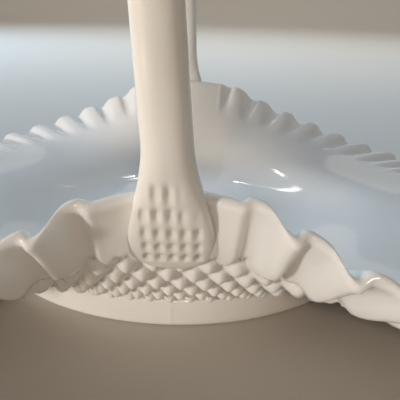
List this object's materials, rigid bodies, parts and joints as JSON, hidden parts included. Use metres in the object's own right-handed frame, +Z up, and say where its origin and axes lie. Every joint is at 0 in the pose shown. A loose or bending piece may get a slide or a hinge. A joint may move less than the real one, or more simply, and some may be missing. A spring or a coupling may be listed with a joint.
{
  "type": "handled serving basket",
  "caption": "Shallow serving bowl on a collar foot, with a diamond band, a ruffled lip raised at the sides and low at the ends, and a tall arched handle with waffle-stamped ends.",
  "frame": {"origin": "middle of the collar foot, on the surface that the bowl stands on", "axes": "+Z up, +X towards one low end of the bowl (the long way), -Y towards the front side of the handle"},
  "size_m": [0.3162, 0.2423, 0.2],
  "materials": {
    "bowl_milk_glass": "glossy opaque white pressed glass with a fire-polished lip",
    "handle_milk_glass": "glossy opaque white hand-drawn glass, stamped at its ends"
  },
  "bodies": {
    "root": {"bowl": "bowl_milk_glass", "handle": "handle_milk_glass"}
  },
  "joints": []
}
